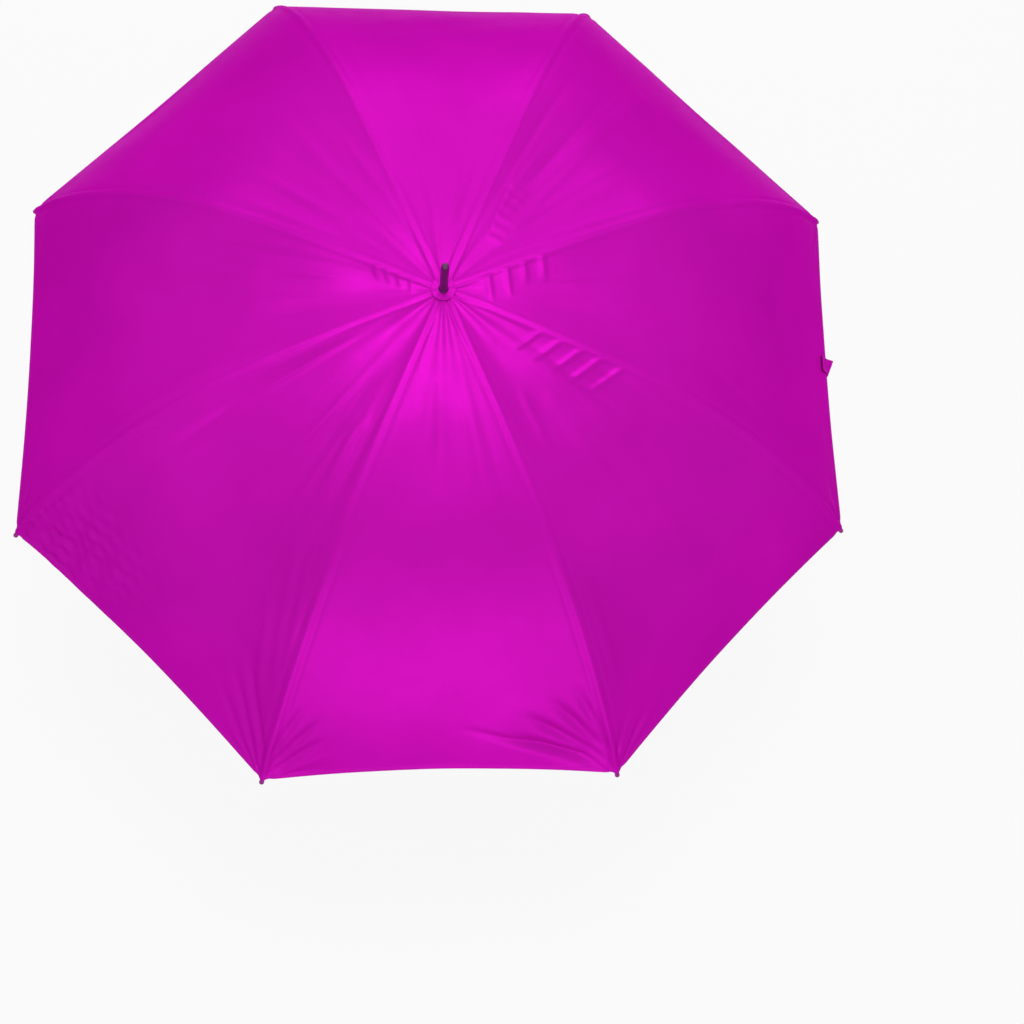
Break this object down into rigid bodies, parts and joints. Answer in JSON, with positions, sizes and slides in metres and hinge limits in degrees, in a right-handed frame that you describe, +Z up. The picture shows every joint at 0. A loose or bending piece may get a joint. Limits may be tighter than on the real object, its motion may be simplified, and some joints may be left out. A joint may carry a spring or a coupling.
{
  "type": "stick umbrella",
  "caption": "Large stick umbrella with a magenta canopy lined in silver, folding ribs and stretchers on a sliding runner, a slim shaft and a straight foam grip.",
  "frame": {"origin": "on the shaft axis, at the lower end of the foam grip's straight wall", "axes": "+Z up the shaft to the ferrule; +X through the fold that carries the tie strap; ribs at half pitch from the X and Y axes"},
  "size_m": [1.1804, 1.1804, 0.9645],
  "materials": {
    "shaft": "satin black",
    "ferrule": "dark purple gloss",
    "canopy_cloth": "satin magenta outside, silver coated inside",
    "frame_plastic": "black",
    "wire": "bare",
    "grip_foam": "matt black closed-cell foam",
    "handle_plastic": "black",
    "rib_steel": "black",
    "rod_fibreglass": "black",
    "tip_plastic": "magenta"
  },
  "bodies": {
    "frame": {"shaft": "shaft", "ferrule": "ferrule", "top_cap": "canopy_cloth", "top_notch": "frame_plastic", "notch_wire": "wire", "handle_grip": "grip_foam", "handle_collar": "handle_plastic", "handle_end_cap": "handle_plastic"},
    "catch": {"top_catch": "wire"},
    "runner": {"runner": "frame_plastic", "runner_wire": "wire"},
    "rib_1": {"rib_1": "rib_steel", "canopy_inner_1": "canopy_cloth"},
    "rod_1": {"rib_rod_1": "rod_fibreglass", "rib_tip_1": "tip_plastic", "canopy_outer_1": "canopy_cloth", "tie_strap": "canopy_cloth"},
    "stretcher_1": {"stretcher_1": "rib_steel"},
    "rib_2": {"rib_2": "rib_steel", "canopy_inner_2": "canopy_cloth"},
    "rod_2": {"rib_rod_2": "rod_fibreglass", "rib_tip_2": "tip_plastic", "canopy_outer_2": "canopy_cloth"},
    "stretcher_2": {"stretcher_2": "rib_steel"},
    "rib_3": {"rib_3": "rib_steel", "canopy_inner_3": "canopy_cloth"},
    "rod_3": {"rib_rod_3": "rod_fibreglass", "rib_tip_3": "tip_plastic", "canopy_outer_3": "canopy_cloth"},
    "stretcher_3": {"stretcher_3": "rib_steel"},
    "rib_4": {"rib_4": "rib_steel", "canopy_inner_4": "canopy_cloth"},
    "rod_4": {"rib_rod_4": "rod_fibreglass", "rib_tip_4": "tip_plastic", "canopy_outer_4": "canopy_cloth"},
    "stretcher_4": {"stretcher_4": "rib_steel"},
    "rib_5": {"rib_5": "rib_steel", "canopy_inner_5": "canopy_cloth"},
    "rod_5": {"rib_rod_5": "rod_fibreglass", "rib_tip_5": "tip_plastic", "canopy_outer_5": "canopy_cloth"},
    "stretcher_5": {"stretcher_5": "rib_steel"},
    "rib_6": {"rib_6": "rib_steel", "canopy_inner_6": "canopy_cloth"},
    "rod_6": {"rib_rod_6": "rod_fibreglass", "rib_tip_6": "tip_plastic", "canopy_outer_6": "canopy_cloth"},
    "stretcher_6": {"stretcher_6": "rib_steel"},
    "rib_7": {"rib_7": "rib_steel", "canopy_inner_7": "canopy_cloth"},
    "rod_7": {"rib_rod_7": "rod_fibreglass", "rib_tip_7": "tip_plastic", "canopy_outer_7": "canopy_cloth"},
    "stretcher_7": {"stretcher_7": "rib_steel"},
    "rib_8": {"rib_8": "rib_steel", "canopy_inner_8": "canopy_cloth"},
    "rod_8": {"rib_rod_8": "rod_fibreglass", "rib_tip_8": "tip_plastic", "canopy_outer_8": "canopy_cloth"},
    "stretcher_8": {"stretcher_8": "rib_steel"}
  },
  "joints": [
    {"name": "runner_slide", "type": "slide", "parent": "frame", "child": "runner", "axis": [0, 0, -1], "range_m": [0, 0.53545], "deforming": ["canopy_inner_1", "canopy_outer_1", "canopy_inner_2", "canopy_outer_2", "canopy_inner_3", "canopy_outer_3", "canopy_inner_4", "canopy_outer_4", "canopy_inner_5", "canopy_outer_5", "canopy_inner_6", "canopy_outer_6", "canopy_inner_7", "canopy_outer_7", "canopy_inner_8", "canopy_outer_8", "tie_strap"]},
    {"name": "catch_press", "type": "slide", "parent": "frame", "child": "catch", "axis": [-1, 0, 0], "range_m": [0, 0.0024], "stiffness_N_per_m": 600},
    {"name": "rib_fold_1", "type": "hinge", "parent": "frame", "child": "rib_1", "pos_m": [0.01016, 0.00421, 0.87204], "axis": [-0.3827, 0.9239, 0], "range_deg": [0, 82.26]},
    {"name": "rod_flex_1", "type": "hinge", "parent": "rib_1", "child": "rod_1", "pos_m": [0.29027, 0.12023, 0.8492], "axis": [0.3827, -0.9239, 0], "range_deg": [0, 34.42]},
    {"name": "stretcher_fold_1", "type": "hinge", "parent": "rib_1", "child": "stretcher_1", "pos_m": [0.28156, 0.11663, 0.84505], "axis": [0.3827, -0.9239, 0], "range_deg": [0, 164.51]},
    {"name": "rib_fold_2", "type": "hinge", "parent": "frame", "child": "rib_2", "pos_m": [0.00421, 0.01016, 0.87204], "axis": [-0.9239, 0.3827, 0], "range_deg": [0, 82.26]},
    {"name": "rod_flex_2", "type": "hinge", "parent": "rib_2", "child": "rod_2", "pos_m": [0.12023, 0.29027, 0.8492], "axis": [0.9239, -0.3827, 0], "range_deg": [0, 34.42]},
    {"name": "stretcher_fold_2", "type": "hinge", "parent": "rib_2", "child": "stretcher_2", "pos_m": [0.11663, 0.28156, 0.84505], "axis": [0.9239, -0.3827, 0], "range_deg": [0, 164.51]},
    {"name": "rib_fold_3", "type": "hinge", "parent": "frame", "child": "rib_3", "pos_m": [-0.00421, 0.01016, 0.87204], "axis": [-0.9239, -0.3827, 0], "range_deg": [0, 82.26]},
    {"name": "rod_flex_3", "type": "hinge", "parent": "rib_3", "child": "rod_3", "pos_m": [-0.12023, 0.29027, 0.8492], "axis": [0.9239, 0.3827, 0], "range_deg": [0, 34.42]},
    {"name": "stretcher_fold_3", "type": "hinge", "parent": "rib_3", "child": "stretcher_3", "pos_m": [-0.11663, 0.28156, 0.84505], "axis": [0.9239, 0.3827, 0], "range_deg": [0, 164.51]},
    {"name": "rib_fold_4", "type": "hinge", "parent": "frame", "child": "rib_4", "pos_m": [-0.01016, 0.00421, 0.87204], "axis": [-0.3827, -0.9239, 0], "range_deg": [0, 82.26]},
    {"name": "rod_flex_4", "type": "hinge", "parent": "rib_4", "child": "rod_4", "pos_m": [-0.29027, 0.12023, 0.8492], "axis": [0.3827, 0.9239, 0], "range_deg": [0, 34.42]},
    {"name": "stretcher_fold_4", "type": "hinge", "parent": "rib_4", "child": "stretcher_4", "pos_m": [-0.28156, 0.11663, 0.84505], "axis": [0.3827, 0.9239, 0], "range_deg": [0, 164.51]},
    {"name": "rib_fold_5", "type": "hinge", "parent": "frame", "child": "rib_5", "pos_m": [-0.01016, -0.00421, 0.87204], "axis": [0.3827, -0.9239, 0], "range_deg": [0, 82.26]},
    {"name": "rod_flex_5", "type": "hinge", "parent": "rib_5", "child": "rod_5", "pos_m": [-0.29027, -0.12023, 0.8492], "axis": [-0.3827, 0.9239, 0], "range_deg": [0, 34.42]},
    {"name": "stretcher_fold_5", "type": "hinge", "parent": "rib_5", "child": "stretcher_5", "pos_m": [-0.28156, -0.11663, 0.84505], "axis": [-0.3827, 0.9239, 0], "range_deg": [0, 164.51]},
    {"name": "rib_fold_6", "type": "hinge", "parent": "frame", "child": "rib_6", "pos_m": [-0.00421, -0.01016, 0.87204], "axis": [0.9239, -0.3827, 0], "range_deg": [0, 82.26]},
    {"name": "rod_flex_6", "type": "hinge", "parent": "rib_6", "child": "rod_6", "pos_m": [-0.12023, -0.29027, 0.8492], "axis": [-0.9239, 0.3827, 0], "range_deg": [0, 34.42]},
    {"name": "stretcher_fold_6", "type": "hinge", "parent": "rib_6", "child": "stretcher_6", "pos_m": [-0.11663, -0.28156, 0.84505], "axis": [-0.9239, 0.3827, 0], "range_deg": [0, 164.51]},
    {"name": "rib_fold_7", "type": "hinge", "parent": "frame", "child": "rib_7", "pos_m": [0.00421, -0.01016, 0.87204], "axis": [0.9239, 0.3827, 0], "range_deg": [0, 82.26]},
    {"name": "rod_flex_7", "type": "hinge", "parent": "rib_7", "child": "rod_7", "pos_m": [0.12023, -0.29027, 0.8492], "axis": [-0.9239, -0.3827, 0], "range_deg": [0, 34.42]},
    {"name": "stretcher_fold_7", "type": "hinge", "parent": "rib_7", "child": "stretcher_7", "pos_m": [0.11663, -0.28156, 0.84505], "axis": [-0.9239, -0.3827, 0], "range_deg": [0, 164.51]},
    {"name": "rib_fold_8", "type": "hinge", "parent": "frame", "child": "rib_8", "pos_m": [0.01016, -0.00421, 0.87204], "axis": [0.3827, 0.9239, 0], "range_deg": [0, 82.26]},
    {"name": "rod_flex_8", "type": "hinge", "parent": "rib_8", "child": "rod_8", "pos_m": [0.29027, -0.12023, 0.8492], "axis": [-0.3827, -0.9239, 0], "range_deg": [0, 34.42]},
    {"name": "stretcher_fold_8", "type": "hinge", "parent": "rib_8", "child": "stretcher_8", "pos_m": [0.28156, -0.11663, 0.84505], "axis": [-0.3827, -0.9239, 0], "range_deg": [0, 164.51]}
  ],
  "couplings": [
    {"joint": "rib_fold_1", "follows": "runner_slide", "rad_per_m": 2.681},
    {"joint": "rod_flex_1", "follows": "runner_slide", "rad_per_m": 1.1216},
    {"joint": "stretcher_fold_1", "follows": "runner_slide", "rad_per_m": 5.362},
    {"joint": "rib_fold_2", "follows": "runner_slide", "rad_per_m": 2.681},
    {"joint": "rod_flex_2", "follows": "runner_slide", "rad_per_m": 1.1216},
    {"joint": "stretcher_fold_2", "follows": "runner_slide", "rad_per_m": 5.362},
    {"joint": "rib_fold_3", "follows": "runner_slide", "rad_per_m": 2.681},
    {"joint": "rod_flex_3", "follows": "runner_slide", "rad_per_m": 1.1216},
    {"joint": "stretcher_fold_3", "follows": "runner_slide", "rad_per_m": 5.362},
    {"joint": "rib_fold_4", "follows": "runner_slide", "rad_per_m": 2.681},
    {"joint": "rod_flex_4", "follows": "runner_slide", "rad_per_m": 1.1216},
    {"joint": "stretcher_fold_4", "follows": "runner_slide", "rad_per_m": 5.362},
    {"joint": "rib_fold_5", "follows": "runner_slide", "rad_per_m": 2.681},
    {"joint": "rod_flex_5", "follows": "runner_slide", "rad_per_m": 1.1216},
    {"joint": "stretcher_fold_5", "follows": "runner_slide", "rad_per_m": 5.362},
    {"joint": "rib_fold_6", "follows": "runner_slide", "rad_per_m": 2.681},
    {"joint": "rod_flex_6", "follows": "runner_slide", "rad_per_m": 1.1216},
    {"joint": "stretcher_fold_6", "follows": "runner_slide", "rad_per_m": 5.362},
    {"joint": "rib_fold_7", "follows": "runner_slide", "rad_per_m": 2.681},
    {"joint": "rod_flex_7", "follows": "runner_slide", "rad_per_m": 1.1216},
    {"joint": "stretcher_fold_7", "follows": "runner_slide", "rad_per_m": 5.362},
    {"joint": "rib_fold_8", "follows": "runner_slide", "rad_per_m": 2.681},
    {"joint": "rod_flex_8", "follows": "runner_slide", "rad_per_m": 1.1216},
    {"joint": "stretcher_fold_8", "follows": "runner_slide", "rad_per_m": 5.362}
  ]
}
